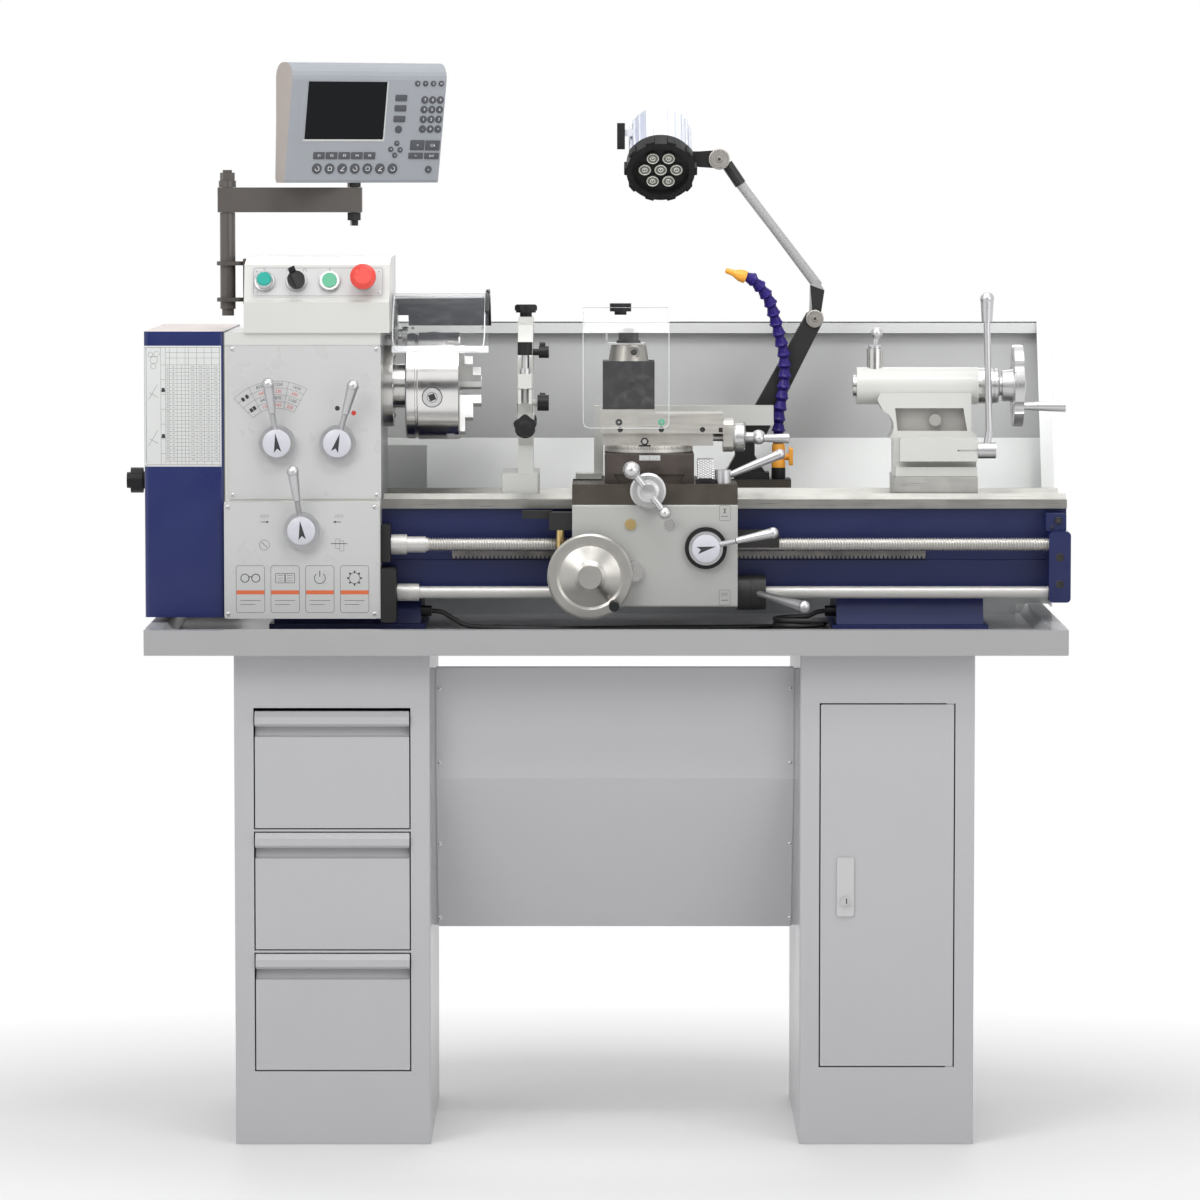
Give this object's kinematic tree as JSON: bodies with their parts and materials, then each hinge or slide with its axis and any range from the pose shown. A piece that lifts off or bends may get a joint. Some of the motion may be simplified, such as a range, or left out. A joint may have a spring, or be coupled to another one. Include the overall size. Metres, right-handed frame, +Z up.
{
  "type": "bench lathe on a cabinet stand",
  "caption": "Metal-turning lathe with chuck, carriage, tailstock, steady rest, readout and work lamp on a chip tray over a drawer and a door cabinet.",
  "frame": {"origin": "centre of the bounding box at floor level, under the stand", "axes": "+X along the bed towards the tailstock, +Y away from the operator, +Z up"},
  "size_m": [1.401, 0.54, 1.589],
  "materials": {
    "navy_paint": "gloss enamel",
    "casting_paint": "satin enamel",
    "stand_paint": "satin enamel on sheet",
    "guard_paint": "satin enamel on sheet",
    "front_white": "printed plate",
    "machined_steel": "turned and ground",
    "bright_steel": "polished",
    "ground_iron": "ground",
    "dark_iron": "blackened",
    "machinery_grey": "enamel",
    "bracket_brown": "satin enamel",
    "black_paint": "satin",
    "black_plastic": "moulded",
    "readout_plastic": "moulded",
    "red_plastic": "moulded",
    "green_plastic": "moulded",
    "blue_plastic": "moulded segments",
    "lamp_aluminium": "cast and painted",
    "clear_sheet": "clear",
    "cable_jacket": "smooth"
  },
  "bodies": {
    "base": {"chip_tray": "stand_paint", "cabinets": "stand_paint", "bed": "navy_paint", "end_bracket": "navy_paint", "splash_guard": "guard_paint", "headstock_casing": "casting_paint", "front_plates": "front_white", "drive_motor": "machinery_grey", "control_box": "casting_paint", "dro_bracket": "bracket_brown", "tray_cable": "cable_jacket", "cable_coil": "cable_jacket"},
    "top_drawer": {"drawer_top": "stand_paint"},
    "middle_drawer": {"drawer_middle": "stand_paint"},
    "bottom_drawer": {"drawer_bottom": "stand_paint"},
    "door": {"cabinet_door": "stand_paint"},
    "lead_screw": {"leadscrew": "machined_steel"},
    "feed_shaft": {"feed_rod": "machined_steel"},
    "gear_guard": {"gear_cover": "navy_paint"},
    "cover_knob": {"gear_cover_knob": "black_plastic"},
    "idler": {"idler_gear": "machined_steel"},
    "input": {"input_gear": "machined_steel"},
    "spindle_unit": {"spindle": "machined_steel", "chuck_body": "machined_steel"},
    "jaw_1": {"chuck_jaw_1": "ground_iron"},
    "jaw_2": {"chuck_jaw_2": "ground_iron"},
    "jaw_3": {"chuck_jaw_3": "ground_iron"},
    "hood": {"chuck_guard": "clear_sheet"},
    "left_lever": {"speed_lever_left": "bright_steel"},
    "right_lever": {"speed_lever_right": "bright_steel"},
    "gearbox_lever": {"feed_lever": "bright_steel"},
    "selector": {"selector_switch": "black_plastic"},
    "start": {"start_button": "green_plastic"},
    "stop": {"emergency_stop": "red_plastic"},
    "readout_arm": {"dro_arm": "bracket_brown"},
    "readout": {"dro_display": "readout_plastic"},
    "steady": {"steady_rest_base": "casting_paint"},
    "steady_top": {"steady_rest_top": "casting_paint"},
    "carriage": {"saddle": "ground_iron", "apron": "casting_paint", "coolant_hose": "blue_plastic"},
    "handwheel": {"carriage_handwheel": "machined_steel"},
    "half_nut": {"half_nut_lever": "bright_steel"},
    "cross": {"cross_slide": "ground_iron"},
    "cross_crank": {"cross_slide_crank": "bright_steel"},
    "compound": {"compound_base": "casting_paint"},
    "top": {"top_slide": "casting_paint"},
    "top_crank": {"top_slide_crank": "bright_steel"},
    "post": {"tool_post": "dark_iron"},
    "shield": {"tool_guard": "clear_sheet"},
    "carriage_lock": {"carriage_lock_lever": "bright_steel"},
    "control": {"spindle_control_lever": "bright_steel"},
    "tailstock": {"tailstock_body": "casting_paint"},
    "tail_quill": {"quill": "machined_steel"},
    "tail_wheel": {"tailstock_handwheel": "bright_steel"},
    "quill_clamp": {"quill_lock": "bright_steel"},
    "tail_clamp": {"clamp_lever": "bright_steel"},
    "lamp_lower": {"lamp_lower_arm": "black_paint"},
    "lamp_upper": {"lamp_upper_arm": "black_paint"},
    "lamp": {"lamp_head": "lamp_aluminium"}
  },
  "joints": [
    {"name": "top_drawer_slide", "type": "slide", "parent": "base", "child": "top_drawer", "axis": [0, -1, 0], "range_m": [0, 0.3]},
    {"name": "middle_drawer_slide", "type": "slide", "parent": "base", "child": "middle_drawer", "axis": [0, -1, 0], "range_m": [0, 0.3]},
    {"name": "bottom_drawer_slide", "type": "slide", "parent": "base", "child": "bottom_drawer", "axis": [0, -1, 0], "range_m": [0, 0.3]},
    {"name": "door_hinge", "type": "hinge", "parent": "base", "child": "door", "pos_m": [0.5135, -0.217, 0.383], "axis": [0, 0, 1], "range_deg": [0, 110]},
    {"name": "leadscrew_turn", "type": "hinge", "parent": "base", "child": "lead_screw", "pos_m": [0.2, -0.104, 0.877], "axis": [1, 0, 0], "continuous": true},
    {"name": "feed_rod_turn", "type": "hinge", "parent": "base", "child": "feed_shaft", "pos_m": [0.2, -0.104, 0.806], "axis": [1, 0, 0], "continuous": true},
    {"name": "gear_cover_hinge", "type": "hinge", "parent": "base", "child": "gear_guard", "pos_m": [-0.552, 0.26, 0.982], "axis": [0, 0, -1], "range_deg": [0, 100]},
    {"name": "cover_knob_turn", "type": "hinge", "parent": "gear_guard", "child": "cover_knob", "pos_m": [-0.672, -0.04, 0.969], "axis": [1, 0, 0], "continuous": true},
    {"name": "spindle_turn", "type": "hinge", "parent": "base", "child": "spindle_unit", "pos_m": [-0.3, 0.02, 1.107], "axis": [1, 0, 0], "continuous": true},
    {"name": "idler_turn", "type": "hinge", "parent": "base", "child": "idler", "pos_m": [-0.569, -0.01743, 0.97833], "axis": [1, 0, 0], "continuous": true},
    {"name": "input_turn", "type": "hinge", "parent": "base", "child": "input", "pos_m": [-0.569, -0.09213, 0.87686], "axis": [1, 0, 0], "continuous": true},
    {"name": "jaw_1_slide", "type": "slide", "parent": "spindle_unit", "child": "jaw_1", "axis": [0, -0.6428, 0.766], "range_m": [0, 0.02]},
    {"name": "jaw_2_slide", "type": "slide", "parent": "spindle_unit", "child": "jaw_2", "axis": [0, -0.342, -0.9397], "range_m": [0, 0.02]},
    {"name": "jaw_3_slide", "type": "slide", "parent": "spindle_unit", "child": "jaw_3", "axis": [0, 0.9848, 0.1736], "range_m": [0, 0.02]},
    {"name": "chuck_guard_hinge", "type": "hinge", "parent": "base", "child": "hood", "pos_m": [-0.3, 0.08, 1.183], "axis": [-1, 0, 0], "range_deg": [0, 70]},
    {"name": "left_lever_turn", "type": "hinge", "parent": "base", "child": "left_lever", "pos_m": [-0.476, -0.131, 1.029], "axis": [0, 1, 0], "range_deg": [-40, 25]},
    {"name": "right_lever_turn", "type": "hinge", "parent": "base", "child": "right_lever", "pos_m": [-0.387, -0.131, 1.029], "axis": [0, 1, 0], "range_deg": [-25, 40]},
    {"name": "gearbox_lever_turn", "type": "hinge", "parent": "base", "child": "gearbox_lever", "pos_m": [-0.4395, -0.145, 0.901], "axis": [0, 1, 0], "range_deg": [-40, 40]},
    {"name": "selector_turn", "type": "hinge", "parent": "base", "child": "selector", "pos_m": [-0.447, -0.12103, 1.26547], "axis": [0, -0.9432, 0.3322], "range_deg": [-45, 45]},
    {"name": "start_press", "type": "slide", "parent": "base", "child": "start", "axis": [0, 0.9432, -0.3322], "range_m": [0, 0.003], "stiffness_N_per_m": 400, "springref_m": -0.002},
    {"name": "stop_press", "type": "slide", "parent": "base", "child": "stop", "axis": [0, 0.9432, -0.3322], "range_m": [0, 0.006]},
    {"name": "readout_arm_swing", "type": "hinge", "parent": "base", "child": "readout_arm", "pos_m": [-0.556, 0, 1.385], "axis": [0, 0, 1], "range_deg": [-75, 75]},
    {"name": "readout_turn", "type": "hinge", "parent": "readout_arm", "child": "readout", "pos_m": [-0.367, 0, 1.407], "axis": [0, 0, 1], "range_deg": [-45, 45]},
    {"name": "steady_slide", "type": "slide", "parent": "base", "child": "steady", "axis": [1, 0, 0], "range_m": [-0.02, 0.01]},
    {"name": "steady_top_hinge", "type": "hinge", "parent": "steady", "child": "steady_top", "pos_m": [-0.111, 0.127, 1.107], "axis": [-1, 0, 0], "range_deg": [0, 75]},
    {"name": "carriage_slide", "type": "slide", "parent": "base", "child": "carriage", "axis": [1, 0, 0], "range_m": [-0.02, 0.1]},
    {"name": "carriage_wheel_turn", "type": "hinge", "parent": "carriage", "child": "handwheel", "pos_m": [-0.0147, -0.16, 0.834], "axis": [0, 1, 0], "continuous": true},
    {"name": "half_nut_turn", "type": "hinge", "parent": "carriage", "child": "half_nut", "pos_m": [0.156, -0.14, 0.8745], "axis": [0, 1, 0], "range_deg": [-20, 35]},
    {"name": "cross_feed", "type": "slide", "parent": "carriage", "child": "cross", "axis": [0, 1, 0], "range_m": [-0.025, 0.03]},
    {"name": "cross_crank_turn", "type": "hinge", "parent": "carriage", "child": "cross_crank", "pos_m": [0.0707, -0.14, 0.959], "axis": [0, 1, 0], "continuous": true},
    {"name": "compound_swivel", "type": "hinge", "parent": "cross", "child": "compound", "pos_m": [0.073, -0.042, 1.017], "axis": [0, 0, 1], "range_deg": [-10, 30]},
    {"name": "top_feed", "type": "slide", "parent": "compound", "child": "top", "axis": [1, 0, 0], "range_m": [-0.014, 0.04]},
    {"name": "top_crank_turn", "type": "hinge", "parent": "top", "child": "top_crank", "pos_m": [0.2, -0.042, 1.033], "axis": [1, 0, 0], "continuous": true},
    {"name": "tool_post_turn", "type": "hinge", "parent": "top", "child": "post", "pos_m": [0.0425, -0.042, 1.092], "axis": [0, 0, 1], "range_deg": [-20, 90]},
    {"name": "tool_guard_turn", "type": "hinge", "parent": "top", "child": "shield", "pos_m": [0.0425, -0.042, 1.172], "axis": [0, 0, 1], "range_deg": [-15, 15]},
    {"name": "carriage_lock_turn", "type": "hinge", "parent": "carriage", "child": "carriage_lock", "pos_m": [0.182, -0.11, 0.972], "axis": [0, 0, 1], "range_deg": [-35, 5]},
    {"name": "control_lever_tilt", "type": "hinge", "parent": "carriage", "child": "control", "pos_m": [0.234, -0.104, 0.806], "axis": [1, 0, 0], "range_deg": [-14, 14]},
    {"name": "tailstock_slide", "type": "slide", "parent": "base", "child": "tailstock", "axis": [1, 0, 0], "range_m": [-0.03, 0.06]},
    {"name": "quill_slide", "type": "slide", "parent": "tailstock", "child": "tail_quill", "axis": [-1, 0, 0], "range_m": [0, 0.08]},
    {"name": "tail_wheel_turn", "type": "hinge", "parent": "tailstock", "child": "tail_wheel", "pos_m": [0.6, 0.02, 1.107], "axis": [-1, 0, 0], "continuous": true},
    {"name": "quill_clamp_turn", "type": "hinge", "parent": "tailstock", "child": "quill_clamp", "pos_m": [0.412, 0.02, 1.167], "axis": [0, 0, 1], "range_deg": [-60, 60]},
    {"name": "tail_clamp_tilt", "type": "hinge", "parent": "tailstock", "child": "tail_clamp", "pos_m": [0.577, -0.038, 1.013], "axis": [1, 0, 0], "range_deg": [-8, 45]},
    {"name": "lamp_base_turn", "type": "hinge", "parent": "carriage", "child": "lamp_lower", "pos_m": [0.222, 0.17, 0.962], "axis": [0, 0, 1], "range_deg": [0, 20]},
    {"name": "lamp_elbow", "type": "hinge", "parent": "lamp_lower", "child": "lamp_upper", "pos_m": [0.327, 0.17, 1.204], "axis": [0, 1, 0], "range_deg": [-20, 20]},
    {"name": "lamp_tilt", "type": "hinge", "parent": "lamp_upper", "child": "lamp", "pos_m": [0.181, 0.17, 1.446], "axis": [0, 1, 0], "range_deg": [-30, 30]}
  ],
  "couplings": [
    {"joint": "idler_turn", "follows": "spindle_turn", "ratio": -0.42553},
    {"joint": "input_turn", "follows": "spindle_turn", "ratio": 1.25},
    {"joint": "jaw_2_slide", "follows": "jaw_1_slide", "ratio": 1},
    {"joint": "jaw_3_slide", "follows": "jaw_1_slide", "ratio": 1},
    {"joint": "carriage_wheel_turn", "follows": "carriage_slide", "rad_per_m": 261.8},
    {"joint": "cross_crank_turn", "follows": "cross_feed", "rad_per_m": 2513.3},
    {"joint": "top_crank_turn", "follows": "top_feed", "rad_per_m": 3141.6},
    {"joint": "tail_wheel_turn", "follows": "quill_slide", "rad_per_m": 1256.6}
  ]
}
